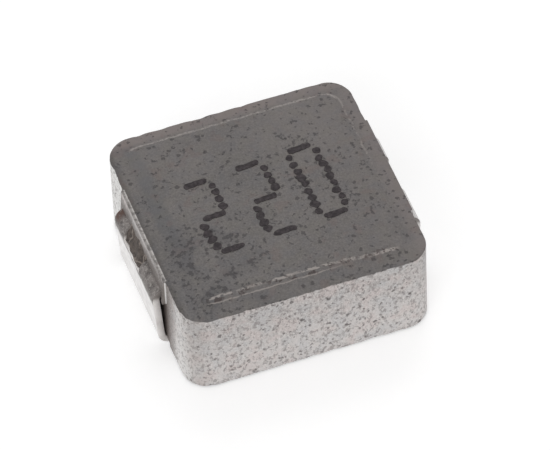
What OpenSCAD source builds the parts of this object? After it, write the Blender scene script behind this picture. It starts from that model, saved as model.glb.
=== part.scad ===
// Shielded surface-mount power inductor, moulded type.
// A flat-wire coil is welded to two folded terminals, and all three are pressed into one block of metal powder.
// X runs from terminal to terminal, Z is up, and Z = 0 is the board that the feet stand on.

/* [Moulded body] */
// Length of the block, from one end wall to the other
body_len = 10; // [9.4:0.1:10.4]
// Width of the block, across the terminals
body_wid = 10; // [9.4:0.1:12]
// Height of the block from its base to the rim of its top
body_h = 3.85; // [3.6:0.05:5]
// Radius of the four upright corners
corner_r = 1.05; // [0.6:0.05:1.2]
// Radius of the worn top and bottom edges
edge_r = 0.06; // [0.03:0.01:0.15]
// Gap between the board and the base of the block
stand_off = 0.03; // [0.02:0.01:0.1]

/* [Top panel] */
// Width of the flat rim round the raised panel
rim_w = 0.56; // [0.3:0.02:0.9]
// How far the panel stands above the rim
panel_rise = 0.1; // [0.05:0.01:0.2]
// Width of the slope from the rim up to the panel
panel_slope = 0.32; // [0.15:0.01:0.5]
// Corner radius of the panel at the foot of its slope
panel_corner_r = 0.7; // [0.55:0.05:1]

/* [End pads] */
// Width of the low pad behind each terminal
pad_w = 5; // [4.8:0.1:6]
// How far that pad stands out from the end wall
pad_stand = 0.07; // [0.03:0.01:0.1]

/* [Terminals] */
// How far each terminal's outer face stands out from the end wall
terminal_stand = 0.47; // [0.42:0.01:0.7]
// Thickness of the tinned copper sheet
sheet_t = 0.27; // [0.16:0.01:0.28]
// Width of the sheet
terminal_w = 4.5; // [3.6:0.1:4.7]
// Height of the tab's upper face above the middle of the coil
tab_rise = 1.2; // [0.8:0.05:1.4]
// Outer radius of the fold inside the body
ear_fold_r = 0.35; // [0.31:0.01:0.4]
// Outer radius of the fold from tab to plate
upper_fold_r = 0.55; // [0.4:0.01:0.6]
// Outer radius of the fold from plate to foot
lower_fold_r = 0.6; // [0.4:0.05:0.7]
// Angle by which the plate leans in towards the foot
plate_lean = 3.5; // [0:0.5:5]
// Reach of the foot under the body, from the terminal's outer face
foot_reach = 2.3; // [1.4:0.1:3]
// Width of the window between the two prongs
window_w = 1.8; // [1.2:0.1:3]
// How far the window lies to one side of the terminal's middle, towards +Y
window_shift = 0.3; // [0:0.05:0.4]
// How far the window runs down below the tab's lower face
window_drop = 0.4; // [0.3:0.02:0.5]
// How far the window reaches into the end wall
window_root = 0.2; // [0.1:0.05:0.3]
// Clearance between each foot and its recess
foot_gap = 0.02; // [0.01:0.01:0.05]

/* [Compound tongues] */
// How far a tongue's tip lies behind the plate's outer face
tongue_tip_drop = 0.06; // [0.03:0.01:0.15]
// Height of that tip
tongue_tip_h = 0.12; // [0.05:0.01:0.2]
// Height of the tongue's crest on the pad above the tab's upper face
tongue_rise = 0.25; // [0.1:0.01:0.3]
// Clearance between a tongue and the window round it
tongue_gap = 0.02; // [0.01:0.01:0.05]

/* [Coil] */
// Whole turns of the winding; one more half turn brings its ends to opposite sides
whole_turns = 5; // [3:1:6]
// Radius of the core post inside the winding
core_r = 2.3; // [1.8:0.05:2.35]
// Thickness of the flat wire, across the winding
wire_t = 0.45; // [0.3:0.01:0.46]
// Height of the flat wire, along the winding's axis
wire_h = 0.95; // [0.7:0.05:1.1]
// Thickness of the enamel film on the wire
enamel_t = 0.03; // [0.02:0.005:0.04]
// Length of each straight end that is welded to its terminal
lead_len = 2; // [1:0.1:2.2]
// Length of the crossing from the lower layer to the upper one
crossing_len = 0.6; // [0.4:0.1:0.8]

/* [Marking] */
// Digits of the generic value code
code = "220"; // [220, 330, 470, 680]
// Distance from one digit to the next
digit_pitch = 2.16; // [1.9:0.01:2.4]
// Width of a digit, between the centres of its columns of dots
digit_w = 1.08; // [0.9:0.02:1.3]
// Height of a digit, between the middles of its top and bottom bars
digit_h = 3.66; // [3.4:0.02:4.4]
// Diameter of one dot of ink
dot_d = 0.3; // [0.2:0.01:0.34]
// Width of a level bar of ink
bar_w = 0.25; // [0.16:0.01:0.3]
// Space between the end of a level bar and the column beside it
bar_gap = 0.02; // [0.01:0.01:0.08]
// Thickness of the ink
ink_t = 0.02; // [0.01:0.005:0.03]
// Shift of the whole code from the middle of the panel, along the row of digits
code_shift = -0.02; // [-0.3:0.01:0.3]
// Turn of the whole code on the panel, in degrees
code_turn = 3.6; // [0:0.1:6]

/* [Hidden] */
$fn = 96;

// Heights
base_z = stand_off;
rim_z = base_z + body_h;
panel_z = rim_z + panel_rise;
end_x = body_len / 2;
recess_z = sheet_t + foot_gap;
outer_x = end_x + terminal_stand;

// Winding: each half turn is an arc, and the next one is half a pitch smaller or larger
wire_pitch = wire_t + 2 * enamel_t;
half_turns = 2 * round(whole_turns) + 1;
lower_count = (half_turns + 1) / 2;
lead_x = core_r + enamel_t + (lower_count - 1) * wire_pitch / 2;
weld_x = lead_x + wire_t;
coil_mid_z = base_z + body_h / 2;
lower_layer_z = coil_mid_z - enamel_t - wire_h;
upper_layer_z = coil_mid_z + enamel_t;

// Terminal profile, along its outer face
tab_top = coil_mid_z + tab_rise;
tab_start_x = weld_x + ear_fold_r;
window_start_x = end_x - window_root;
window_z = tab_top - sheet_t - window_drop;
tab_end_x = outer_x - upper_fold_r;
plate_drop = upper_fold_r * (1 + sin(plate_lean)) + lower_fold_r * (1 - sin(plate_lean));
plate_len = (tab_top - plate_drop) / cos(plate_lean);
plate_inset = plate_len * sin(plate_lean) + (lower_fold_r - upper_fold_r) * cos(plate_lean);
plate_out = [cos(plate_lean), -sin(plate_lean)];
ear_fold = [tab_start_x, tab_top - ear_fold_r];
upper_fold = [tab_end_x, tab_top - upper_fold_r];
lower_fold = [tab_end_x - plate_inset, lower_fold_r];
foot_tip_x = outer_x - foot_reach;

// A digit has level bars at its first, middle and last rows, and columns of dots between them
last_row = 10;
mid_row = last_row / 2;
row_pitch = digit_h / last_row;
bar_len = digit_w - dot_d - 2 * bar_gap;
// Strokes that each digit lights: a top, b and c right, d bottom, e and f left, g middle
STROKES = ["abcdef", "bc", "abged", "abgcd", "fgbc", "afgcd", "afgedc", "abc", "abcdefg", "abcdfg"];

// A block with rounded upright corners; the child is the profile of its edge, from the corner's axis outwards
module edged_block(len, wid, r, h) {
    in_x = len / 2 - r;
    in_y = wid / 2 - r;
    translate([-in_x, -in_y, 0]) cube([2 * in_x, 2 * in_y, h]);
    for (side = [0:3]) {
        out = side % 2 == 0 ? in_x : in_y;
        along = side % 2 == 0 ? in_y : in_x;
        rotate(90 * side) translate([out, 0, 0])
            rotate([90, 0, 0]) linear_extrude(2 * along, center = true) children();
        rotate(90 * side) translate([out, along, 0]) rotate_extrude(angle = 90) children();
    }
}

module wall_profile() {
    square([corner_r - edge_r, body_h]);
    translate([0, edge_r]) square([corner_r, body_h - 2 * edge_r]);
    for (z = [edge_r, body_h - edge_r]) translate([corner_r - edge_r, z]) circle(edge_r);
}

module panel_profile() {
    polygon([[0, 0], [panel_corner_r, 0], [panel_corner_r - panel_slope, panel_rise], [0, panel_rise]]);
}

// The pressed block before anything is let into it
module pressed_block() {
    translate([0, 0, base_z]) edged_block(body_len, body_wid, corner_r, body_h) wall_profile();
    translate([0, 0, rim_z])
        edged_block(body_len - 2 * rim_w, body_wid - 2 * rim_w, panel_corner_r, panel_rise) panel_profile();
}

module end_pad() {
    translate([end_x + pad_stand - corner_r, 0, base_z])
        rotate([90, 0, 0]) linear_extrude(pad_w, center = true) wall_profile();
}

module foot_recess() {
    cut_from = foot_tip_x - foot_gap;
    translate([cut_from, -pad_w / 2, 0]) cube([outer_x - cut_from, pad_w, recess_z]);
}

// Compound that has filled the window between the prongs and runs up the pad
module tongue() {
    low_z = window_z + tongue_gap;
    crest_z = tab_top + tongue_rise;
    tip_x = outer_x - tongue_tip_drop;
    translate([0, window_shift, 0])
        rotate([90, 0, 0]) linear_extrude(window_w - 2 * tongue_gap, center = true) polygon([
            [end_x, low_z],
            [tip_x, low_z],
            [tip_x, low_z + tongue_tip_h],
            [end_x + pad_stand + tongue_gap, crest_z],
            [end_x, crest_z]]);
}

module moulded_body() {
    color([0.44, 0.43, 0.42]) difference() {
        union() {
            pressed_block();
            for (end = [0, 1]) mirror([end, 0, 0]) {
                end_pad();
                tongue();
            }
        }
        for (end = [0, 1]) mirror([end, 0, 0]) foot_recess();
        coil_space();
        left_sheet();
        right_sheet();
    }
}

// Middle of half turn i, which shifts by half a pitch from one half of the winding to the other
function arc_x(i) = i <= lower_count
    ? (i % 2 == 1 ? 0 : wire_pitch / 2)
    : ((i - lower_count) % 2 == 1 ? arc_x(lower_count) : arc_x(lower_count - 1));
// Radius of the inner face of half turn i
function arc_r(i) = i <= lower_count
    ? lead_x - (i - 1) * wire_pitch / 2
    : arc_r(lower_count) + (i - lower_count - 1) * wire_pitch / 2;

// Half a ring of the winding, from the inner face of half turn i to the outer face of half turn j;
// with its film, a lower one reaches into the film of the upper layer
module half_ring(i, j, film) {
    r_out = arc_r(j) + wire_t + film;
    is_lower = i <= lower_count;
    z = (is_lower ? lower_layer_z : upper_layer_z) - film;
    translate([arc_x(i), 0, z]) linear_extrude(wire_h + (is_lower ? 3 : 2) * film) difference() {
        circle(r_out);
        circle(arc_r(i) - film);
        translate([-r_out, i % 2 == 1 ? 0 : -r_out]) square([2 * r_out, r_out]);
    }
}

// Straight end of the wire along a terminal's ear; side is -1 at the left and 1 at the right
module lead(side, z, film) {
    x = side > 0 ? lead_x : -weld_x;
    translate([x - film, 0, z - film]) cube([wire_t + 2 * film, lead_len + film, wire_h + 2 * film]);
}

// Innermost stretch of wire, where it climbs from the lower layer to the upper one
module crossing(film) {
    side = lower_count % 2 == 1 ? 1 : -1;
    inner_x = arc_x(lower_count) + side * arc_r(lower_count);
    x = side > 0 ? inner_x : inner_x - wire_t;
    climb = upper_layer_z + wire_h - lower_layer_z;
    translate([x - film, -crossing_len / 2, lower_layer_z - film])
        cube([wire_t + 2 * film, crossing_len, climb + 2 * film]);
}

module wire_ends(film) {
    crossing(film);
    lead(-1, lower_layer_z, film);
    lead(1, upper_layer_z, film);
}

module coil() {
    color([0.72, 0.38, 0.2]) {
        for (i = [1:half_turns]) half_ring(i, i, 0);
        wire_ends(0);
    }
}

// Room that the enamelled wire takes in the compound; films that touch leave no compound between them
module coil_space() {
    half_ring(lower_count, lower_count % 2 == 1 ? 1 : 2, enamel_t);
    half_ring(lower_count - 1, lower_count % 2 == 1 ? 2 : 1, enamel_t);
    half_ring(lower_count + 1, half_turns - (half_turns - lower_count - 1) % 2, enamel_t);
    half_ring(lower_count + 2, half_turns - (half_turns - lower_count) % 2, enamel_t);
    wire_ends(enamel_t);
}

// What lies within the sheet's outer face, seen on edge, or within its inner face when inset by its thickness;
// it is open from the ear's end at ear_z to the tip of the foot
module within_sheet(inset, ear_z) {
    translate(ear_fold) circle(ear_fold_r - inset);
    translate(upper_fold) circle(upper_fold_r - inset);
    translate(lower_fold) circle(lower_fold_r - inset);
    polygon([
        [foot_tip_x - inset, inset],
        [lower_fold[0], inset],
        lower_fold + (lower_fold_r - inset) * plate_out,
        upper_fold + (upper_fold_r - inset) * plate_out,
        [tab_end_x, tab_top - inset],
        [tab_start_x, tab_top - inset],
        [weld_x + inset, ear_fold[1]],
        [weld_x + inset, ear_z],
        [foot_tip_x - inset, ear_z]]);
}

// The whole terminal of the +X end
module folded_sheet(ear_z) {
    difference() {
        rotate([90, 0, 0]) linear_extrude(terminal_w, center = true) difference() {
            within_sheet(0, ear_z);
            within_sheet(sheet_t, ear_z);
        }
        translate([window_start_x, window_shift - window_w / 2, window_z]) cube([outer_x, window_w, tab_top]);
    }
}

// The lower coil layer ends at the left and the upper one at the right
module left_sheet() {
    mirror([1, 0, 0]) folded_sheet(lower_layer_z);
}

module right_sheet() {
    folded_sheet(upper_layer_z);
}

module terminal_left() {
    color([0.85, 0.84, 0.82]) left_sheet();
}

module terminal_right() {
    color([0.85, 0.84, 0.82]) right_sheet();
}

function lit(stroke, digit) = len(search(stroke, STROKES[digit])) > 0;

// Whether a column has a dot at a row, from what its upper and lower strokes say
function dot_here(row, upper, lower) = row < mid_row ? upper : row > mid_row ? lower : upper && lower;

module ink_bar(row) {
    half_run = (bar_len - bar_w) / 2;
    translate([0, -row * row_pitch, 0]) {
        translate([-half_run, -bar_w / 2, 0]) cube([2 * half_run, bar_w, ink_t]);
        for (side = [-1, 1]) translate([side * half_run, 0, 0]) cylinder(d = bar_w, h = ink_t);
    }
}

module ink_column(side, upper, lower) {
    for (row = [1:last_row - 1]) if (dot_here(row, upper, lower))
        translate([side * digit_w / 2, -row * row_pitch, 0]) cylinder(d = dot_d, h = ink_t);
}

module ink_digit(digit) {
    if (lit("a", digit)) ink_bar(0);
    if (lit("g", digit)) ink_bar(mid_row);
    if (lit("d", digit)) ink_bar(last_row);
    ink_column(-1, lit("f", digit), lit("e", digit));
    ink_column(1, lit("b", digit), lit("c", digit));
}

module marking() {
    first_x = code_shift - (len(code) - 1) / 2 * digit_pitch;
    color([0.2, 0.19, 0.19]) rotate([0, 0, code_turn]) for (n = [0:len(code) - 1])
        translate([first_x + n * digit_pitch, digit_h / 2, panel_z]) ink_digit(ord(code[n]) - ord("0"));
}

moulded_body();
coil();
terminal_left();
terminal_right();
marking();
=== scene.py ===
import math
import random

import bmesh
import bpy
from mathutils import Matrix, Vector, noise


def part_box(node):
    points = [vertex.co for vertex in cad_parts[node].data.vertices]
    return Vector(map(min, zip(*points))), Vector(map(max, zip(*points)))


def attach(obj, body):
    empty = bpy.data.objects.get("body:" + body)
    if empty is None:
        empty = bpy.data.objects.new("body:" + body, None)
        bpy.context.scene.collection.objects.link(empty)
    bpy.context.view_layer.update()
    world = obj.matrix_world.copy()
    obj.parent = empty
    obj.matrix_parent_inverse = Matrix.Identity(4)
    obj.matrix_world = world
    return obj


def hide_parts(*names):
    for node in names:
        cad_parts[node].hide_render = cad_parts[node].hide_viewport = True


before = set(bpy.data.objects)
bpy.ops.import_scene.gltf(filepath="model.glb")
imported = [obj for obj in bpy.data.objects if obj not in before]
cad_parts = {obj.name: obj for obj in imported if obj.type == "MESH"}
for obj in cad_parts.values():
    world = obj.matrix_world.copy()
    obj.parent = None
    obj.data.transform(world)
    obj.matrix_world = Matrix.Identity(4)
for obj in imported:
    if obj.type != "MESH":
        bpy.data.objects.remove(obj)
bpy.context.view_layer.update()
MM = 0.001

# ---------------------------------------------------------------- camera
# A long lens far from the part, so that its back edge looks hardly shorter than its front one. It looks
# down on the block from the front left, and is rolled a little.
LOOK_AZIMUTH = math.radians(-17.79)
LOOK_ELEVATION = math.radians(48.75)
LOOK_ROLL = math.radians(-2.71)
LOOK_DISTANCE = 220.4 * MM
LENS_MM = 370.1
SENSOR_MM = 36
NEAREST_SEEN = 10 * MM
AIM_RIGHT = 0.21 * MM
AIM_UP = 1.56 * MM
AIM_HEIGHT = 0.03 * MM


def direction(azimuth, elevation):
    """The way out from the part, so far round from its front and so far up from level."""
    return Vector((
        math.sin(azimuth) * math.cos(elevation),
        -math.cos(azimuth) * math.cos(elevation),
        math.sin(elevation)))


back = direction(LOOK_AZIMUTH, LOOK_ELEVATION)
level_right = Vector((0, 0, 1)).cross(back).normalized()
look_right = Matrix.Rotation(LOOK_ROLL, 3, back) @ level_right
look_up = back.cross(look_right)

lens = bpy.data.cameras.new("camera")
lens.lens = LENS_MM
lens.sensor_width = SENSOR_MM
lens.clip_start = NEAREST_SEEN
camera = bpy.data.objects.new("camera", lens)
bpy.context.scene.collection.objects.link(camera)
aim = look_right * AIM_RIGHT + look_up * AIM_UP + Vector((0, 0, AIM_HEIGHT))
camera.matrix_world = (
    Matrix.Translation(aim + back * LOOK_DISTANCE)
    @ Matrix((look_right, look_up, back)).transposed().to_4x4())
bpy.context.scene.camera = camera
bpy.context.scene.view_settings.view_transform = "Standard"

# ---------------------------------------------------------------- studio
# A white sweep of floor under a soft white dome, with one broad lamp at the front left and one behind. The
# camera and shiny surfaces see the floor and the dome brighter than they light the part.
FLOOR_SIZE = 1.2
FLOOR_DROP = 0.01 * MM
FLOOR_COLOUR = "#e8e8e8"
FLOOR_GLOW = 0.4
DOME_LIGHT = 0.62


def new_material(name):
    """A material with an empty node tree, its tree and its output."""
    material = bpy.data.materials.new(name)
    material.use_nodes = True
    tree = material.node_tree
    tree.nodes.clear()
    output = tree.nodes.new("ShaderNodeOutputMaterial")
    return material, tree, output


def add_piece(name, shape, material=None):
    """A bmesh as a finished object in the scene."""
    mesh = bpy.data.meshes.new(name)
    shape.to_mesh(mesh)
    shape.free()
    piece = bpy.data.objects.new(name, mesh)
    bpy.context.scene.collection.objects.link(piece)
    if material:
        mesh.materials.append(material)
    return piece


def paint(hex_colour):
    """A colour written as on paper, as the linear value that a shader takes."""
    shares = [int(hex_colour[i:i + 2], 16) / 255 for i in (1, 3, 5)]
    return [s / 12.92 if s <= 0.04045 else ((s + 0.055) / 1.055) ** 2.4 for s in shares] + [1]


def settle(tree, socket, value):
    """Gives a socket a fixed value, or links what makes one to it."""
    if isinstance(value, bpy.types.NodeSocket):
        tree.links.new(value, socket)
    else:
        socket.default_value = value


def reckon(tree, operation, *values):
    """What a Math node makes of numbers or of what other nodes make."""
    node = tree.nodes.new("ShaderNodeMath")
    node.operation = operation
    for socket, value in zip(node.inputs, values):
        settle(tree, socket, value)
    return node.outputs[0]


def ease(tree, value, start, end, low=0.0, high=1.0):
    """Takes a value smoothly from low at start to high at end."""
    node = tree.nodes.new("ShaderNodeMapRange")
    node.interpolation_type = "SMOOTHSTEP"
    tree.links.new(value, node.inputs["Value"])
    for name, number in (("From Min", start), ("From Max", end), ("To Min", low), ("To Max", high)):
        settle(tree, node.inputs[name], number)
    return node.outputs[0]


def seen_directly(tree):
    """1 for rays from the camera, a mirror or glass, 0 for rays that light the object."""
    rays = tree.nodes.new("ShaderNodeLightPath").outputs
    camera_or_mirror = reckon(tree, "MAXIMUM", rays["Is Camera Ray"], rays["Is Glossy Ray"])
    return reckon(tree, "MAXIMUM", camera_or_mirror, rays["Is Transmission Ray"])


world = bpy.data.worlds.new("dome")
bpy.context.scene.world = world
world.use_nodes = True
tree = world.node_tree
tree.nodes.clear()
dome = tree.nodes.new("ShaderNodeBackground")
dome.inputs["Color"].default_value = (1, 1, 1, 1)
settle(tree, dome.inputs["Strength"], ease(tree, seen_directly(tree), 0, 1, DOME_LIGHT, 1))
dome_output = tree.nodes.new("ShaderNodeOutputWorld")
tree.links.new(dome.outputs[0], dome_output.inputs["Surface"])

floor_white, tree, output = new_material("floor_white")
card = tree.nodes.new("ShaderNodeBsdfDiffuse")
card.inputs["Color"].default_value = paint(FLOOR_COLOUR)
glow = tree.nodes.new("ShaderNodeEmission")
settle(tree, glow.inputs["Strength"], ease(tree, seen_directly(tree), 0, 1, 0, FLOOR_GLOW))
card_and_glow = tree.nodes.new("ShaderNodeAddShader")
tree.links.new(card.outputs[0], card_and_glow.inputs[0])
tree.links.new(glow.outputs[0], card_and_glow.inputs[1])
tree.links.new(card_and_glow.outputs[0], output.inputs["Surface"])
sheet = bmesh.new()
bmesh.ops.create_grid(sheet, x_segments=1, y_segments=1, size=FLOOR_SIZE / 2)
bmesh.ops.translate(sheet, vec=(0, 0, -FLOOR_DROP), verts=sheet.verts)
floor = add_piece("floor", sheet, floor_white)


def add_lamp(name, azimuth, elevation, distance, size, power):
    """A square area lamp that faces the middle of the part, with its angles in degrees."""
    lamp = bpy.data.lights.new(name, "AREA")
    lamp.size = size
    lamp.energy = power
    stand = bpy.data.objects.new(name, lamp)
    bpy.context.scene.collection.objects.link(stand)
    towards = direction(math.radians(azimuth), math.radians(elevation))
    stand.location = towards * distance
    stand.rotation_mode = "QUATERNION"
    stand.rotation_quaternion = towards.to_track_quat("Z", "Y")


add_lamp("front_lamp", azimuth=-35, elevation=30, distance=0.30, size=0.18, power=0.20)
add_lamp("back_lamp", azimuth=160, elevation=45, distance=0.30, size=0.20, power=0.14)

# ---------------------------------------------------------------- moulded block
# Iron-alloy powder and resin, pressed round the coil in a steel die. The punch leaves a raised panel and a
# matt dark top, and the die walls burnish the sides to a speckled light grey. A pad on each end wall, prouder
# towards its foot, backs the terminal, whose own foot lies in a recess of the base.
TERMINAL_STAND = 0.47 * MM
CORNER_R = 1.05 * MM
CORNER_STEPS = 10
EDGE_R = 0.06 * MM
EDGE_STEPS = 3
RIM_W = 0.56 * MM
PANEL_RISE = 0.1 * MM
PANEL_SLOPE = 0.32 * MM
PANEL_CORNER_R = 0.7 * MM
CREASE_R = 0.04 * MM
CREASE_STEPS = 2
PAD_W = 5.0 * MM
PAD_TOP_STAND = 0.07 * MM
PAD_FOOT_STAND = 0.175 * MM
PAD_FOOT = 2.55 * MM
PAD_EDGE_R = EDGE_R / 2
PAD_EDGE_STEPS = 2
PLATE_ROOM_W = 4.54 * MM
PLATE_ROOM_TOP = 2.9 * MM
RECESS_START = 3.15 * MM
RECESS_HEIGHT = 0.29 * MM
FACING_UP = 0.99
SHARP_ANGLE = 1.0
LEVEL_WITHIN = 0.01 * MM
SNAP_WITHIN = 0.002 * MM
GRID_PITCH = 0.14 * MM
WAVE_DEPTH = 0.01 * MM
WAVES_PER_MM = 0.9
EDGE_WEAR = 0.09 * MM
RIGHT_WEAR_SHARE = 0.5
WEAR_REACH = 0.12 * MM
NICKS_PER_MM = 3.1
NICK_SHIFT = Vector((7, 3, 1))

block_low, block_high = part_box("moulded_body")
half_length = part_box("terminal_right")[1].x - TERMINAL_STAND
half_width = block_high.y
base_z = block_low.z
panel_z = block_high.z
rim_z = panel_z - PANEL_RISE


def upright_box(low, high):
    """A bmesh cube between two corners."""
    shape = bmesh.new()
    bmesh.ops.create_cube(shape, size=1)
    size = Vector(high) - Vector(low)
    bmesh.ops.scale(shape, vec=size, verts=shape.verts)
    bmesh.ops.translate(shape, vec=(Vector(low) + Vector(high)) / 2, verts=shape.verts)
    return shape


def end_box(side, near, far, width, low_z, high_z):
    """A box at one end of the block, from a near to a far distance from the block's middle."""
    left, right = sorted((side * near, side * far))
    return upright_box((left, -width / 2, low_z), (right, width / 2, high_z))


def facing_up(shape):
    """The faces that look straight up."""
    shape.normal_update()
    return [f for f in shape.faces if f.normal.z > FACING_UP]


def climb(edge):
    """How much higher one end of an edge is than the other."""
    return abs(edge.verts[0].co.z - edge.verts[1].co.z)


def round_edges(shape, edges, radius, steps):
    """Rounds edges to a radius."""
    bmesh.ops.bevel(
        shape, geom=edges, offset=radius, segments=steps, profile=0.5, affect="EDGES", material=-1)


def round_level_edges(shape, radius, steps):
    """Rounds the sharp edges that run level, such as those round a top or a base."""
    shape.normal_update()
    level = [e for e in shape.edges if e.calc_face_angle(0) > SHARP_ANGLE and climb(e) < LEVEL_WITHIN]
    round_edges(shape, level, radius, steps)


def bake_modifiers(piece):
    """Makes what the modifiers show the piece's own mesh."""
    seen = piece.evaluated_get(bpy.context.evaluated_depsgraph_get())
    mesh = bpy.data.meshes.new_from_object(seen)
    piece.modifiers.clear()
    piece.data = mesh


def combine(piece, shape, operation):
    """Joins a shape to a piece, or cuts it out of the piece, for good."""
    tool = add_piece("tool", shape)
    change = piece.modifiers.new("change", "BOOLEAN")
    change.operation = operation
    change.solver = "EXACT"
    change.object = tool
    bake_modifiers(piece)
    bpy.data.objects.remove(tool)


def cut_once(shape, axis, at):
    """One straight cut across a mesh."""
    normal = Vector((0, 0, 0))
    normal[axis] = 1
    everything = shape.verts[:] + shape.edges[:] + shape.faces[:]
    bmesh.ops.bisect_plane(shape, geom=everything, dist=SNAP_WITHIN, plane_co=normal * at, plane_no=normal)


def slice_up(shape, axis, low, high, pitch):
    """Cuts straight across a mesh at an even pitch, to give it points that can be moved."""
    count = max(1, round((high - low) / pitch))
    for i in range(1, count):
        cut_once(shape, axis, low + (high - low) * i / count)


def inside_distance(x, y, half_x, half_y, radius):
    """How far a point lies inside a rounded rectangle, negative outside it."""
    over_x = abs(x) - half_x + radius
    over_y = abs(y) - half_y + radius
    outside = math.hypot(max(over_x, 0), max(over_y, 0))
    return radius - outside - min(max(over_x, over_y), 0)


block = upright_box((-half_length, -half_width, base_z), (half_length, half_width, rim_z))
uprights = [e for e in block.edges if climb(e) > LEVEL_WITHIN]
round_edges(block, uprights, CORNER_R, CORNER_STEPS)
top = facing_up(block)
rim_edges = list(top[0].edges)
bmesh.ops.delete(block, geom=top, context="FACES_ONLY")
panel = bmesh.ops.create_grid(block, x_segments=1, y_segments=1, size=1)["verts"]
panel_half = Vector((half_length - RIM_W, half_width - RIM_W, 1))
bmesh.ops.scale(block, vec=panel_half, verts=panel)
bmesh.ops.translate(block, vec=(0, 0, rim_z), verts=panel)
bmesh.ops.bevel(
    block, geom=panel, offset=PANEL_CORNER_R, segments=CORNER_STEPS, profile=0.5, affect="VERTICES",
    material=-1)
panel_face = max(facing_up(block), key=lambda f: f.calc_area())
foot_edges = list(panel_face.edges)
bmesh.ops.bridge_loops(block, edges=rim_edges + foot_edges)
bmesh.ops.inset_region(
    block, faces=[panel_face], thickness=PANEL_SLOPE, depth=0, use_even_offset=True, use_boundary=True)
bmesh.ops.translate(block, vec=(0, 0, PANEL_RISE), verts=panel_face.verts)
round_edges(block, foot_edges + list(panel_face.edges), CREASE_R, CREASE_STEPS)
round_level_edges(block, EDGE_R, EDGE_STEPS)
bmesh.ops.recalc_face_normals(block, faces=block.faces)
moulded_block = add_piece("moulded_block", block)

past_end = 2 * half_length
pad_face = half_length + PAD_TOP_STAND
for side in (-1, 1):
    pad = end_box(side, half_length - CORNER_R, pad_face, PAD_W, PAD_FOOT, rim_z)
    pad_toe = [v for v in pad.verts if abs(v.co.x) > half_length and v.co.z < rim_z - EDGE_R]
    bmesh.ops.translate(pad, vec=(side * (PAD_FOOT_STAND - PAD_TOP_STAND), 0, 0), verts=pad_toe)
    round_level_edges(pad, PAD_EDGE_R, PAD_EDGE_STEPS)
    combine(moulded_block, pad, "UNION")
    # The plate leans in below its shoulder, so the pad is cut back behind it.
    plate_room = end_box(side, pad_face, past_end, PLATE_ROOM_W, base_z, PLATE_ROOM_TOP)
    combine(moulded_block, plate_room, "DIFFERENCE")
    recess = end_box(side, RECESS_START, past_end, PAD_W, -rim_z, RECESS_HEIGHT)
    combine(moulded_block, recess, "DIFFERENCE")

block = bmesh.new()
block.from_mesh(moulded_block.data)
slice_up(block, 2, base_z, rim_z, GRID_PITCH)
slice_up(block, 0, -half_length, half_length, GRID_PITCH)
slice_up(block, 1, -half_width, half_width, GRID_PITCH)
block.normal_update()
for vert in block.verts:
    place = vert.co / MM
    to_wall = inside_distance(vert.co.x, vert.co.y, half_length, half_width, CORNER_R)
    to_rim = min(rim_z - vert.co.z, vert.co.z - base_z)
    on_pad = to_wall < -PAD_TOP_STAND / 2
    near_edge = 0 if on_pad else max(0, 1 - max(to_wall, to_rim) / WEAR_REACH)
    wave = 0.5 + 0.5 * noise.noise(place * WAVES_PER_MM)
    nick = max(0, noise.noise(place * NICKS_PER_MM + NICK_SHIFT))
    wear = EDGE_WEAR * (RIGHT_WEAR_SHARE if vert.co.x > half_length - CORNER_R else 1)
    vert.co -= vert.normal * (WAVE_DEPTH * wave + wear * near_edge * nick)
block.to_mesh(moulded_block.data)
block.free()
moulded_block.data.shade_smooth()
softer = moulded_block.modifiers.new("softer", "SUBSURF")
softer.levels = softer.render_levels = 1
# How many millimetres each point lies inside the foot of the panel, for the lines that the punch leaves.
panel_inset = moulded_block.data.attributes.new("panel_inset", "FLOAT", "POINT")
for i, vert in enumerate(moulded_block.data.vertices):
    panel_inset.data[i].value = inside_distance(
        vert.co.x, vert.co.y, half_length - RIM_W, half_width - RIM_W, PANEL_CORNER_R) / MM


def grain(tree, place, per_mm, detail=2.0, roughness=0.5, stretch=(1, 1, 1), shift=0.0):
    """Noise with so many lumps to the millimetre, drawn out along an axis where stretch is under 1."""
    mapping = tree.nodes.new("ShaderNodeMapping")
    tree.links.new(place, mapping.inputs["Vector"])
    mapping.inputs["Scale"].default_value = [s / MM for s in stretch]
    mapping.inputs["Location"].default_value = (shift, shift, shift)
    node = tree.nodes.new("ShaderNodeTexNoise")
    tree.links.new(mapping.outputs[0], node.inputs["Vector"])
    node.inputs["Scale"].default_value = per_mm
    node.inputs["Detail"].default_value = detail
    node.inputs["Roughness"].default_value = roughness
    return node.outputs["Fac"]


def blend_paint(tree, share, first, second):
    """A colour between two others."""
    node = tree.nodes.new("ShaderNodeMix")
    node.data_type = "RGBA"
    settle(tree, node.inputs["Factor"], share)
    settle(tree, node.inputs["A"], first)
    settle(tree, node.inputs["B"], second)
    return node.outputs["Result"]


def tint(tree, share, strength, colour, name):
    """Lays a paint over a colour, as far as its share and its strength go."""
    return blend_paint(tree, reckon(tree, "MULTIPLY", share, strength), colour, paint(name))


def object_place(tree):
    """Object coordinates, and their X, Y and Z in millimetres."""
    coords = tree.nodes.new("ShaderNodeTexCoord").outputs["Object"]
    split = tree.nodes.new("ShaderNodeSeparateXYZ")
    tree.links.new(coords, split.inputs[0])
    return coords, [reckon(tree, "DIVIDE", axis, MM) for axis in split.outputs]


def finish_with(tree, output, colour, roughness, metallic, height, depth):
    """The shader that takes the colour, the roughness and a relief of so many metres."""
    shader = tree.nodes.new("ShaderNodeBsdfPrincipled")
    settle(tree, shader.inputs["Base Color"], colour)
    settle(tree, shader.inputs["Roughness"], roughness)
    settle(tree, shader.inputs["Metallic"], metallic)
    relief = tree.nodes.new("ShaderNodeBump")
    relief.inputs["Distance"].default_value = depth
    tree.links.new(height, relief.inputs["Height"])
    tree.links.new(relief.outputs[0], shader.inputs["Normal"])
    tree.links.new(shader.outputs[0], output.inputs["Surface"])
    return shader


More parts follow.
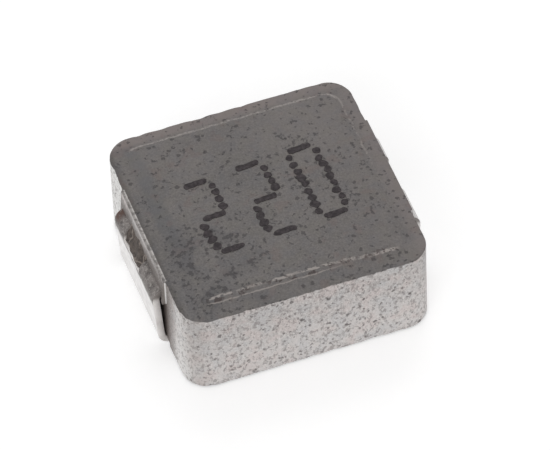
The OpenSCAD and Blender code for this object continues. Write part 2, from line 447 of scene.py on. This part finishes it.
def push_about(tree, place, per_mm, reach_mm):
    """Coordinates moved about by noise, so that what reads them loses its even outlines."""
    node = tree.nodes.new("ShaderNodeTexNoise")
    tree.links.new(place, node.inputs["Vector"])
    node.inputs["Scale"].default_value = per_mm / MM
    moved = tree.nodes.new("ShaderNodeVectorMath")
    moved.operation = "MULTIPLY_ADD"
    tree.links.new(node.outputs["Color"], moved.inputs[0])
    moved.inputs[1].default_value = [reach_mm * MM] * 3
    tree.links.new(place, moved.inputs[2])
    return moved.outputs[0]


def specks(tree, place, per_mm, size, shift=0.0):
    """Scattered specks of uneven size, 1 inside them; size is their reach in parts of their spacing."""
    mapping = tree.nodes.new("ShaderNodeMapping")
    tree.links.new(place, mapping.inputs["Vector"])
    mapping.inputs["Scale"].default_value = [1 / MM] * 3
    mapping.inputs["Location"].default_value = (shift, shift, shift)
    cells = tree.nodes.new("ShaderNodeTexVoronoi")
    tree.links.new(mapping.outputs[0], cells.inputs["Vector"])
    cells.inputs["Scale"].default_value = per_mm
    pick = tree.nodes.new("ShaderNodeSeparateColor")
    tree.links.new(cells.outputs["Color"], pick.inputs[0])
    reach = ease(tree, pick.outputs[0], 0.1, 1, 0, size)
    solid_reach = reckon(tree, "MULTIPLY", reach, 0.6)
    return ease(tree, cells.outputs["Distance"], solid_reach, reach, 1, 0)


def overlap(tree, *shares):
    """The share where several shares hold together."""
    result = shares[0]
    for share in shares[1:]:
        result = reckon(tree, "MULTIPLY", result, share)
    return result


def where(tree, *bands):
    """The share of a region: each band is an axis, the value where it starts, and where it is full."""
    return overlap(tree, *[ease(tree, value, start, full) for value, start, full in bands])


class Powder:
    """The places in millimetres and the noises that the paints of the powder share."""

    def __init__(self, tree):
        self.coords, (self.x, self.y, self.z) = object_place(tree)
        self.outward = reckon(tree, "ABSOLUTE", self.x)
        self.across = reckon(tree, "ABSOLUTE", self.y)
        self.uneven = push_about(tree, self.coords, 8, 0.18)
        self.fine = grain(tree, self.coords, 13, 3, 0.7)
        self.lumps = grain(tree, self.coords, 5.0, 3, 0.6, shift=3.1)
        self.breaks = grain(tree, self.coords, 3.2, 3, 0.7, shift=1.7)
        self.hue = grain(tree, self.coords, 1.6, 2, 0.5, shift=17.3)
        self.blotches = grain(tree, self.coords, 1.1, 2, 0.5, shift=5.2)


def dark_top(tree, at):
    """The matt skin under the punch, and where its pits are."""
    x, y = at.x, at.y
    clouds = grain(tree, at.coords, 0.45, 2, 0.5, shift=8.7)
    top = blend_paint(tree, ease(tree, clouds, 0.35, 0.65), paint("#615e5d"), paint("#6b6765"))
    top = tint(tree, ease(tree, at.fine, 0.45, 0.65), 0.42, top, "#837d7b")
    top = tint(tree, ease(tree, at.fine, 0.48, 0.34), 0.3, top, "#4c4747")
    # Painted shade: a cool band lies along the left slope of the panel, and the left rim is dark. Painted
    # light: the back and right rims and the back and right of the top are paler.
    top = tint(tree, where(tree, (x, -3.6, -3.95), (x, -4.5, -4.2), (y, -2.0, 0.5)), 0.5, top, "#57585b")
    top = tint(tree, where(tree, (y, 4.35, 4.7)), 0.8, top, "#847a77")
    top = tint(tree, where(tree, (x, 4.35, 4.8)), 0.5, top, "#7f7674")
    top = tint(tree, where(tree, (x, 0, 4.0)), 0.24, top, "#78716f")
    top = tint(tree, where(tree, (y, 0.5, 3.5)), 0.22, top, "#7b7573")
    # Painted shade on the left rim.
    top = tint(tree, where(tree, (x, -4.7, -4.92)), 0.5, top, "#3e3937")
    # Faint warm and cool clouds, and a few rust-brown smudges.
    top = tint(tree, ease(tree, at.hue, 0.5, 0.64), 0.14, top, "#6f6b60")
    top = tint(tree, ease(tree, at.hue, 0.5, 0.36), 0.14, top, "#5a5d64")
    smudges = ease(tree, grain(tree, at.coords, 1.4, 2, 0.5, shift=13.1), 0.58, 0.68)
    top = tint(tree, smudges, 0.16, top, "#6f5650")
    # The front left corner is darker and more pitted than the rest.
    corner = where(tree, (x, -0.6, -2.4), (y, 0.5, -0.8), (x, -4.7, -4.2))
    top = tint(tree, overlap(tree, corner, ease(tree, at.blotches, 0.4, 0.65)), 0.4, top, "#4d4c50")
    crowd = ease(tree, at.blotches, 0.35, 0.7, -0.04, 0.04)
    crowd = reckon(tree, "ADD", crowd, reckon(tree, "MULTIPLY", corner, 0.05))
    large_pits = ease(tree, reckon(tree, "ADD", at.lumps, crowd), 0.59, 0.67)
    top = tint(tree, large_pits, 0.68, top, "#333032")
    small_pits = specks(tree, at.uneven, 3.1, 0.33, 1.3)
    top = tint(tree, small_pits, 0.7, top, "#373334")
    return top, reckon(tree, "MAXIMUM", large_pits, small_pits)


def line(tree, distance, start, width, soft):
    """A line with soft sides, so wide, from where a distance in millimetres reaches its start."""
    rise = ease(tree, distance, start - soft, start)
    fall = ease(tree, distance, start + width, start + width + soft, 1, 0)
    return overlap(tree, rise, fall)


def punch_lines_and_slope_light(tree, at, top):
    """Pale broken lines along the foot of the panel, where the edge of the punch has rubbed the skin, with
    painted highlights on the back and right slopes and painted shade on the front slope.
    """
    x, y = at.x, at.y
    inset = tree.nodes.new("ShaderNodeAttribute")
    inset.attribute_name = "panel_inset"
    wander = ease(tree, grain(tree, at.coords, 2.5, 2, 0.5, shift=5.7), 0.3, 0.7, -0.025, 0.025)
    from_foot = reckon(tree, "ADD", inset.outputs["Fac"], wander)
    seldom_broken = ease(tree, at.breaks, 0.34, 0.46)
    often_broken = ease(tree, at.breaks, 0.4, 0.52)

    # Rubbing, and a painted highlight where the back slope faces the light.
    along_back = where(tree, (y, 3.8, 4.1), (x, -4.2, -4.0))
    back_rub_and_highlight = overlap(
        tree, line(tree, from_foot, start=0.03, width=0.06, soft=0.05), along_back,
        ease(tree, at.fine, 0.4, 0.55, 0.35, 1), seldom_broken)
    top = tint(tree, back_rub_and_highlight, 0.62, top, "#a8a19d")

    # Rubbing, and a painted highlight where the right slope faces the light.
    along_right = where(tree, (x, 3.9, 4.2), (y, -0.6, 1.5))
    right_rub_and_highlight = overlap(
        tree, line(tree, from_foot, start=0.0, width=0.03, soft=0.04), along_right, often_broken)
    top = tint(tree, right_rub_and_highlight, 0.42, top, "#a19a96")

    # Painted shade on the front slope, between two rubbed lines.
    along_front = where(tree, (y, -3.7, -3.8), (x, -4.0, -3.7), (x, 4.0, 3.6))
    front_slope_shade = overlap(
        tree, line(tree, from_foot, start=0.24, width=0.15, soft=0.08), along_front,
        ease(tree, at.lumps, 0.5, 0.6))
    top = tint(tree, front_slope_shade, 0.7, top, "#443937")
    low_line = overlap(
        tree, line(tree, from_foot, start=0.18, width=0.03, soft=0.03), along_front,
        ease(tree, x, 0.6, 2.0, 1, 0), seldom_broken)
    top = tint(tree, low_line, 0.55, top, "#a69e99")
    drawn_in = reckon(tree, "ADD", from_foot, ease(tree, x, 0.5, 3.2, 0, 0.16))
    high_line = overlap(
        tree, line(tree, drawn_in, start=0.4, width=0.06, soft=0.06), along_front,
        ease(tree, at.blotches, 0.35, 0.6, 0.35, 1), ease(tree, at.lumps, 0.62, 0.52, 0.2, 1), often_broken)
    return tint(tree, high_line, 0.72, top, "#aca49f")


def burnished_wall(tree, at):
    """The light skin that the die walls have rubbed, and where its deep pits are."""
    x, y, z = at.x, at.y, at.z
    wall = blend_paint(tree, ease(tree, z, 3.7, 0.4), paint("#bdb8b6"), paint("#d6d1cf"))
    wall = tint(tree, ease(tree, at.hue, 0.5, 0.65), 0.3, wall, "#cdb9b5")
    wall = tint(tree, ease(tree, at.hue, 0.5, 0.35), 0.3, wall, "#b4b7bb")
    # Painted light: the left end is brighter on both sides of its terminal. Painted shadow of the terminal
    # lies along the terminal's front edge.
    wall = tint(tree, where(tree, (x, -4.6, -4.95), (y, 2.3, 2.9)), 0.8, wall, "#f2f2f0")
    wall = tint(tree, where(tree, (x, -4.6, -4.95), (z, 2.6, 0.4), (y, -2.6, -3.4)), 0.6, wall, "#f2f0ee")
    wall = tint(tree, where(tree, (x, -4.7, -4.95), (y, -3.2, -3.8)), 0.4, wall, "#f0eeec")
    # Painted shadow of the terminal on the wall along its front edge.
    wall = tint(tree, where(tree, (x, -4.8, -4.98), (y, -3.8, -2.6), (y, 0, -1)), 0.9, wall, "#6b615c")
    # Pale grains, drag marks drawn out upwards, specks and deep pits; the front left corner is darker.
    drag = grain(tree, at.uneven, 9, 3, 0.65, stretch=(1, 1, 0.6), shift=6.3)
    wall = tint(tree, ease(tree, at.fine, 0.45, 0.68), 0.5, wall, "#edeae8")
    wall = tint(tree, ease(tree, drag, 0.5, 0.62), 0.6, wall, "#7b7371")
    wall = tint(tree, specks(tree, at.uneven, 4.6, 0.38, 2.1), 0.68, wall, "#655e5c")
    deep_pits = specks(tree, at.uneven, 2.7, 0.28, 7.7)
    wall = tint(tree, deep_pits, 0.7, wall, "#403a38")
    wall = tint(tree, where(tree, (x, -3.9, -4.6), (y, -3.9, -4.6)), 0.25, wall, "#8f8884")
    return wall, deep_pits


def pad_faces(tree, at, wall):
    """The pads: grey-brown under a paler top, with painted shade down the back side and the front end, and a
    painted highlight down the left front corner.
    """
    x, y, z, outward = at.x, at.y, at.z, at.outward
    on_pad = where(tree, (outward, 5.02, 5.05))
    wall = tint(tree, overlap(tree, on_pad, ease(tree, at.breaks, 0.44, 0.6)), 0.5, wall, "#6a625e")
    wall = tint(tree, overlap(tree, on_pad, ease(tree, z, 3.85, 3.25)), 0.85, wall, "#68615d")
    under_rim = where(tree, (outward, 5.01, 5.03), (z, 3.6, 3.68), (at.across, 2.3, 1.2))
    wall = tint(tree, under_rim, 0.25, wall, "#ebe9e7")
    # Painted shade down the back side of the pad.
    back_side_shade = where(tree, (outward, 4.9, 4.97), (y, 2.42, 2.46), (y, 2.6, 2.55))
    wall = tint(tree, back_side_shade, 0.75, wall, "#554d4a")
    # Painted shade on the front end of the pad, and a painted highlight down its corner.
    front_side = where(tree, (y, -2.46, -2.49), (y, -2.57, -2.53), (z, 2.5, 2.56))
    wall = tint(tree, overlap(tree, front_side, ease(tree, x, -5.03, -5.06)), 0.8, wall, "#7d7772")
    front_corner_highlight = where(tree, (x, -4.98, -5.0), (x, -5.06, -5.03), (z, 3.84, 3.76))
    return tint(tree, overlap(tree, front_side, front_corner_highlight), 0.75, wall, "#f0eeec")


def pressed_powder():
    """Dark matt top and base, light burnished walls, and dark pits over both."""
    material, tree, output = new_material("pressed_powder")
    at = Powder(tree)
    top, top_pits = dark_top(tree, at)
    top = punch_lines_and_slope_light(tree, at, top)
    wall, wall_pits = burnished_wall(tree, at)
    wall = pad_faces(tree, at, wall)

    # Skin and walls meet along ragged lines just under the rim and just over the base.
    rim_mm, base_mm = rim_z / MM, base_z / MM
    height = reckon(tree, "ADD", at.z, ease(tree, at.lumps, 0.2, 0.8, -0.02, 0.02))
    below_rim = ease(tree, height, rim_mm - 0.07, rim_mm - 0.035, 1, 0)
    above_base = ease(tree, height, base_mm + 0.02, base_mm + 0.06)
    on_wall = overlap(tree, below_rim, above_base)
    colour = blend_paint(tree, on_wall, top, wall)

    # The left rim is rubbed light along the pad, and painted shade darkens the wall behind and beside the
    # plates.
    rubbed = where(tree, (at.x, -4.92, -4.96), (at.across, 2.52, 2.47), (at.z, 3.75, 3.85))
    rubbed = overlap(tree, rubbed, ease(tree, at.lumps, 0.6, 0.45, 0.35, 1))
    colour = tint(tree, rubbed, 0.9, colour, "#a09b98")
    colour = tint(tree, overlap(tree, rubbed, ease(tree, at.x, -5.01, -4.97)), 0.6, colour, "#dbd7d4")
    # Painted shade in the gap behind each plate and on the wall beside it.
    shade_behind_plate = where(tree, (at.outward, 4.9, 4.98), (at.across, 2.58, 2.5), (at.z, 2.6, 2.54))
    colour = tint(tree, shade_behind_plate, 0.95, colour, "#5d554f")
    shade_beside_plate = where(tree, (at.outward, 4.8, 4.9), (at.across, 2.85, 2.6), (height, 3.0, 2.4))
    colour = tint(tree, shade_beside_plate, 0.5, colour, "#6f6664")

    roughness = ease(tree, on_wall, 0, 1, 0.72, 0.5)
    metallic = ease(tree, on_wall, 0, 1, 0.0, 0.25)
    pits = reckon(tree, "MAXIMUM", top_pits, wall_pits)
    relief = reckon(tree, "SUBTRACT", reckon(tree, "MULTIPLY", at.fine, 0.35), pits)
    finish_with(tree, output, colour, roughness, metallic, relief, 0.012 * MM)
    return material


moulded_block.data.materials.clear()
moulded_block.data.materials.append(pressed_powder())
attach(moulded_block, "root")
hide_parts("moulded_body")

# ---------------------------------------------------------------- coil
# Flat copper wire under clear enamel, wound in two layers and sealed inside the block. Its solids stay as
# they are, and get the finish of the wire.


def enamelled_copper():
    """Copper with a warm coat of enamel and faint drawing lines."""
    material, tree, output = new_material("enamelled_copper")
    coords, _ = object_place(tree)
    streaks = grain(tree, coords, 6, 2, 0.5, stretch=(1, 1, 0.1))
    colour = blend_paint(tree, ease(tree, streaks, 0.3, 0.7), paint("#8f4a24"), paint("#b8683a"))
    shader = finish_with(tree, output, colour, 0.3, 1.0, streaks, 0.002 * MM)
    shader.inputs["Coat Weight"].default_value = 0.6
    return material


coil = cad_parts["coil"]
coil.data.materials.clear()
coil.data.materials.append(enamelled_copper())

# ---------------------------------------------------------------- terminals
# Each is one strip of tinned copper sheet: an ear welded to the coil, a tab out of the block, a plate down
# the outside and a foot under the base. A window leaves two prongs at the shoulder, where the tin is dull.
SHEET_T = 0.27 * MM
SHEET_PITCH = 0.16 * MM
COIL_LAYER = 0.95 * MM
EAR_FOLD_R = 0.35 * MM
EAR_FOLD_STEPS = 8
UPPER_FOLD_R = 0.55 * MM
UPPER_FOLD_STEPS = 14
LOWER_FOLD_R = 0.6 * MM
LOWER_FOLD_STEPS = 12
PLATE_LEAN = math.radians(3.5)
WINDOW_W = 1.8 * MM
WINDOW_SHIFT = 0.3 * MM
WINDOW_DROP = 0.4 * MM
WINDOW_ROOT = 0.2 * MM
STAMPED_EDGE = 0.03 * MM
STAMPED_STEPS = 2
STAMPED_ANGLE = math.radians(60)

window_left = WINDOW_SHIFT - WINDOW_W / 2
window_right = WINDOW_SHIFT + WINDOW_W / 2
shoulder_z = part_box("terminal_left")[1].z
sill_z = shoulder_z - SHEET_T - WINDOW_DROP


def pull(shape, edges, by):
    """Draws a row of edges out into a flat strip."""
    made = bmesh.ops.extrude_edge_only(shape, edges=edges)["geom"]
    bmesh.ops.translate(shape, vec=by, verts=[g for g in made if isinstance(g, bmesh.types.BMVert)])
    return [g for g in made if isinstance(g, bmesh.types.BMEdge)]


def fold(shape, edges, centre, angle, steps):
    """Bends a strip on from a row of edges, round an axis along Y."""
    ends = {v for e in edges for v in e.verts}
    made = bmesh.ops.spin(
        shape, geom=list(edges) + list(ends), cent=centre, axis=(0, 1, 0), angle=angle, steps=steps,
        use_duplicate=False)["geom_last"]
    return [g for g in made if isinstance(g, bmesh.types.BMEdge)]


def folded_sheet(node):
    """The outer face of one terminal, bent like the real strip from its ear to the tip of its foot."""
    low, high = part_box(node)
    coil_low, coil_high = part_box("coil")
    side = 1 if high.x > 0 else -1
    outer_x = max(abs(low.x), abs(high.x))
    tip_x = min(abs(low.x), abs(high.x))
    weld_x = coil_high.x
    ear_z = coil_low.z if side < 0 else coil_high.z - COIL_LAYER
    ear_centre = Vector((weld_x + EAR_FOLD_R, 0, high.z - EAR_FOLD_R))
    upper_centre = Vector((outer_x - UPPER_FOLD_R, 0, high.z - UPPER_FOLD_R))
    drop = UPPER_FOLD_R * (1 + math.sin(PLATE_LEAN)) + LOWER_FOLD_R * (1 - math.sin(PLATE_LEAN))
    plate_len = (high.z - drop) / math.cos(PLATE_LEAN)
    inset = plate_len * math.sin(PLATE_LEAN) + (LOWER_FOLD_R - UPPER_FOLD_R) * math.cos(PLATE_LEAN)
    lower_centre = Vector((upper_centre.x - inset, 0, LOWER_FOLD_R))

    shape = bmesh.new()
    ends = [shape.verts.new((weld_x, y, ear_z)) for y in (-high.y, high.y)]
    row = [shape.edges.new(ends)]
    row = pull(shape, row, (0, 0, ear_centre.z - ear_z))
    row = fold(shape, row, ear_centre, math.pi / 2, EAR_FOLD_STEPS)
    row = pull(shape, row, (upper_centre.x - ear_centre.x, 0, 0))
    row = fold(shape, row, upper_centre, math.pi / 2 + PLATE_LEAN, UPPER_FOLD_STEPS)
    row = pull(shape, row, (-plate_len * math.sin(PLATE_LEAN), 0, -plate_len * math.cos(PLATE_LEAN)))
    row = fold(shape, row, lower_centre, math.pi / 2 - PLATE_LEAN, LOWER_FOLD_STEPS)
    pull(shape, row, (tip_x - lower_centre.x, 0, 0))

    root_x = half_length - WINDOW_ROOT
    cut_once(shape, 1, window_left)
    cut_once(shape, 1, window_right)
    cut_once(shape, 0, root_x)
    cut_once(shape, 2, sill_z)
    window = []
    for face in shape.faces:
        middle = face.calc_center_median()
        if window_left < middle.y < window_right and middle.x > root_x and middle.z > sill_z:
            window.append(face)
    bmesh.ops.delete(shape, geom=window, context="FACES")
    slice_up(shape, 1, -high.y, high.y, SHEET_PITCH)
    slice_up(shape, 2, 0, high.z, SHEET_PITCH)
    bmesh.ops.scale(shape, vec=(side, 1, 1), verts=shape.verts)
    shape.normal_update()
    plate = max(shape.faces, key=lambda f: abs(f.calc_center_median().x))
    if plate.normal.x * side < 0:
        bmesh.ops.reverse_faces(shape, faces=shape.faces)
    return shape


def tinned_copper():
    """Satin tin: bright on the flats, dull grey over the shoulder, bare copper at the left back corner."""
    material, tree, output = new_material("tinned_copper")
    coords, (x, y, z) = object_place(tree)
    shoulder_mm = shoulder_z / MM
    mottle = grain(tree, coords, 3, 4, 0.65)
    fine = grain(tree, coords, 11, 3, 0.6, shift=2.2)
    bright = blend_paint(tree, ease(tree, mottle, 0.3, 0.7), paint("#d4d2d1"), paint("#e8e6e5"))
    dull = blend_paint(tree, ease(tree, mottle, 0.35, 0.65), paint("#5b5654"), paint("#837d7a"))
    dull = blend_paint(tree, ease(tree, fine, 0.5, 0.62, 0, 0.45), dull, paint("#b1aca8"))
    ragged = reckon(tree, "ADD", z, ease(tree, mottle, 0.3, 0.7, -0.12, 0.12))
    worn = ease(tree, ragged, shoulder_mm - 0.95, shoulder_mm - 0.65)
    less_at_right = ease(tree, x, -1, 1, 1, 0.35)
    worn = overlap(tree, worn, less_at_right)
    colour = blend_paint(tree, worn, bright, dull)
    bare = where(tree, (x, 0, -1), (y, 1.7, 2.1), (z, shoulder_mm - 0.5, shoulder_mm - 0.3))
    bare = overlap(tree, bare, ease(tree, fine, 0.3, 0.5))
    colour = blend_paint(tree, bare, colour, paint("#5a443d"))
    roughness = ease(tree, worn, 0, 1, 0.38, 0.6)
    metallic = ease(tree, worn, 0, 1, 1.0, 0.35)
    relief = reckon(tree, "ADD", mottle, reckon(tree, "MULTIPLY", fine, 0.4))
    finish_with(tree, output, colour, roughness, metallic, relief, 0.008 * MM)
    return material


def sheared_edge():
    """The cut edge of the strip: copper under a smear of tin, dull at the shoulder, where painted shade also
    darkens it.
    """
    material, tree, output = new_material("sheared_edge")
    coords, (_, _, z) = object_place(tree)
    shoulder_mm = shoulder_z / MM
    streaks = grain(tree, coords, 5, 3, 0.6, stretch=(0.4, 1, 0.25))
    colour = blend_paint(tree, ease(tree, streaks, 0.3, 0.7), paint("#d6d2cf"), paint("#eeebe9"))
    # Dull tin at the shoulder, with painted shade over it.
    dull = where(tree, (z, shoulder_mm - 0.6, shoulder_mm - 0.35))
    colour = tint(tree, dull, 0.85, colour, "#6f6763")
    finish_with(tree, output, colour, 0.5, 0.5, streaks, 0.006 * MM)
    return material


tin = tinned_copper()
cut_tin = sheared_edge()
for node in ("terminal_left", "terminal_right"):
    piece = add_piece("folded_" + node, folded_sheet(node), tin)
    piece.data.materials.append(cut_tin)
    piece.data.shade_smooth()
    thick = piece.modifiers.new("thickness", "SOLIDIFY")
    thick.thickness = SHEET_T
    thick.offset = -1
    thick.material_offset_rim = 1
    stamped = piece.modifiers.new("stamped_edge", "BEVEL")
    stamped.width = STAMPED_EDGE
    stamped.segments = STAMPED_STEPS
    stamped.limit_method = "ANGLE"
    stamped.angle_limit = STAMPED_ANGLE
    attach(piece, "root")
    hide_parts(node)

# ---------------------------------------------------------------- compound in the windows
# Powder that the press pushed out through each window, where it broke off: a rough brown wedge from the pad
# down to the window's sill, lighter along its cracks, where a painted glint lies.
TONGUE_ROOT = 0.1 * MM
TONGUE_TIP_DROP = 0.06 * MM
TONGUE_TIP_H = 0.12 * MM
TONGUE_PITCH = 0.07 * MM
TONGUE_ROUGH = 0.07 * MM
LUMPS_PER_MM = 2.1
CRUMBS_PER_MM = 5.3
CRUMB_SHARE = 0.6
TONGUE_SUNK = 0.2


def rough_tongue(node, crest_rise, seed):
    """A wedge from a crest against the pad down to the sill of the window, broken up by noise."""
    low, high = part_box(node)
    side = 1 if high.x > 0 else -1
    tip_x = max(abs(low.x), abs(high.x)) - TONGUE_TIP_DROP
    tip_z = sill_z + TONGUE_TIP_H
    crest_z = high.z + crest_rise
    shape = upright_box((half_length - TONGUE_ROOT, window_left, sill_z), (tip_x, window_right, crest_z))
    for vert in shape.verts:
        if vert.co.x > half_length and vert.co.z > tip_z:
            vert.co.z = tip_z
    cut_once(shape, 0, pad_face)
    for vert in shape.verts:
        if vert.co.x < (pad_face + tip_x) / 2 and vert.co.z > tip_z:
            vert.co.z = crest_z
    slice_up(shape, 0, half_length, tip_x, TONGUE_PITCH)
    slice_up(shape, 1, window_left, window_right, TONGUE_PITCH)
    slice_up(shape, 2, sill_z, crest_z, TONGUE_PITCH)
    bmesh.ops.scale(shape, vec=(side, 1, 1), verts=shape.verts)
    bmesh.ops.recalc_face_normals(shape, faces=shape.faces)
    shape.normal_update()
    drift = Vector((seed, seed * 2, seed * 3))
    for vert in shape.verts:
        place = vert.co / MM
        lump = noise.noise(place * LUMPS_PER_MM + drift)
        crumb = noise.noise(place * CRUMBS_PER_MM + drift)
        vert.co += vert.normal * TONGUE_ROUGH * (lump + CRUMB_SHARE * crumb - TONGUE_SUNK)
    return shape


def broken_compound():
    """Brown-grey broken powder with pale hairline cracks that carry a painted glint."""
    material, tree, output = new_material("broken_compound")
    coords, _ = object_place(tree)
    lumps = grain(tree, coords, 4, 4, 0.7)
    fine = grain(tree, coords, 16, 2, 0.6, shift=4.4)
    colour = blend_paint(tree, ease(tree, lumps, 0.35, 0.65), paint("#3f3835"), paint("#625953"))
    colour = blend_paint(tree, ease(tree, fine, 0.5, 0.7, 0, 0.4), colour, paint("#7d736b"))
    # Painted glints along the hairline cracks.
    off_middle = reckon(tree, "SUBTRACT", grain(tree, coords, 1.1, 2, 0.5, shift=9.1), 0.5)
    crack_glints = ease(tree, reckon(tree, "ABSOLUTE", off_middle), 0.004, 0.03, 0.75, 0)
    colour = blend_paint(tree, crack_glints, colour, paint("#958b83"))
    relief = reckon(tree, "ADD", lumps, reckon(tree, "MULTIPLY", fine, 0.3))
    finish_with(tree, output, colour, 0.85, 0.0, relief, 0.03 * MM)
    return material


rough = broken_compound()
for node, crest_rise, seed in (("terminal_left", 0.25 * MM, 1.3), ("terminal_right", 0.08 * MM, 6.1)):
    piece = add_piece(node.replace("terminal", "tongue"), rough_tongue(node, crest_rise, seed), rough)
    piece.data.shade_smooth()
    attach(piece, "root")
    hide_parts("moulded_body")

# ---------------------------------------------------------------- marking
# A generic value code put on by an ink jet: columns of single drops, with level strokes run together. Each
# drop soaks a little way into the powder and dries a little above it.
CODE = "220"
# Strokes are lettered as on a seven-part display: a at the top, on clockwise to f, and g in the middle.
STROKES = {"2": "abged", "0": "abcdef"}
DIGIT_PITCH = 2.16 * MM
DIGIT_W = 1.08 * MM
DIGIT_H = 3.66 * MM
CODE_SHIFT = -0.02 * MM
CODE_TURN = math.radians(3.6)
LAST_ROW = 10
MID_ROW = LAST_ROW // 2
DROP_R = 0.16 * MM
DROP_SIDES = 18
DROP_SLIP = 0.022 * MM
SMALLEST_DROP = 0.9
LARGEST_DROP = 1.2
BAR_LEN = 0.94 * MM
BAR_R = 0.13 * MM
BAR_SIDES = 3 * DROP_SIDES
BAR_MIDDLE_SHARE = 0.4
INK_SINK = 0.02 * MM
INK_STEP = 0.004 * MM
INK_SPREAD = 0.45
INK_LOBES_PER_MM = 5.5
INK_SEED = 11

ink_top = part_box("marking")[1].z
drops = random.Random(INK_SEED)
ink = bmesh.new()


def add_drop(x, y, radius, half_run=0.0):
    """One drop of ink with an uneven rim, or a level stroke that several drops have run into."""
    middle = Vector((x, y, panel_z - INK_SINK))
    made = bmesh.ops.create_circle(
        ink, cap_ends=True, segments=BAR_SIDES if half_run else DROP_SIDES, radius=radius,
        matrix=Matrix.Translation(middle))["verts"]
    for vert in made:
        run = half_run * max(-1, min(1, (vert.co.x - x) / (BAR_MIDDLE_SHARE * radius)))
        vert.co.x += run
        nearest = middle + Vector((run, 0, 0))
        vert.co += (vert.co - nearest) * (INK_SPREAD * noise.noise(vert.co / MM * INK_LOBES_PER_MM))
    raised = bmesh.ops.extrude_face_region(ink, geom=made[0].link_faces[:])["geom"]
    lifted = [g for g in raised if isinstance(g, bmesh.types.BMVert)]
    rise = ink_top - middle.z - drops.uniform(0, 1) * INK_STEP
    bmesh.ops.translate(ink, vec=(0, 0, rise), verts=lifted)


def add_column(x, top_y, upper, lower):
    """A column of drops down one side of a digit, in its upper half, its lower half or both."""
    for row in range(1, LAST_ROW):
        if (upper or row > MID_ROW) and (lower or row < MID_ROW):
            slip_x, slip_y = (drops.gauss(0, DROP_SLIP) for _ in range(2))
            radius = DROP_R * drops.uniform(SMALLEST_DROP, LARGEST_DROP)
            add_drop(x + slip_x, top_y - row * DIGIT_H / LAST_ROW + slip_y, radius)


for place, digit in enumerate(CODE):
    strokes = STROKES[digit]
    middle_x = CODE_SHIFT + (place - (len(CODE) - 1) / 2) * DIGIT_PITCH
    for stroke, row in (("a", 0), ("g", MID_ROW), ("d", LAST_ROW)):
        if stroke in strokes:
            add_drop(middle_x, DIGIT_H / 2 - row * DIGIT_H / LAST_ROW, BAR_R, BAR_LEN / 2 - BAR_R)
    add_column(middle_x - DIGIT_W / 2, DIGIT_H / 2, "f" in strokes, "e" in strokes)
    add_column(middle_x + DIGIT_W / 2, DIGIT_H / 2, "b" in strokes, "c" in strokes)
bmesh.ops.rotate(ink, cent=(0, 0, 0), matrix=Matrix.Rotation(CODE_TURN, 3, "Z"), verts=ink.verts)
bmesh.ops.recalc_face_normals(ink, faces=ink.faces)


def dried_ink():
    """Matt near-black ink, thinner and browner where the powder shows through."""
    material, tree, output = new_material("dried_ink")
    coords, _ = object_place(tree)
    patches = grain(tree, coords, 6, 3, 0.6)
    colour = blend_paint(tree, ease(tree, patches, 0.35, 0.7), paint("#2c2729"), paint("#464042"))
    shader = finish_with(tree, output, colour, 0.7, 0.0, patches, 0.004 * MM)
    shader.inputs["Specular IOR Level"].default_value = 0.25
    return material


code = add_piece("ink_code", ink, dried_ink())
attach(code, "root")
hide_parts("marking")
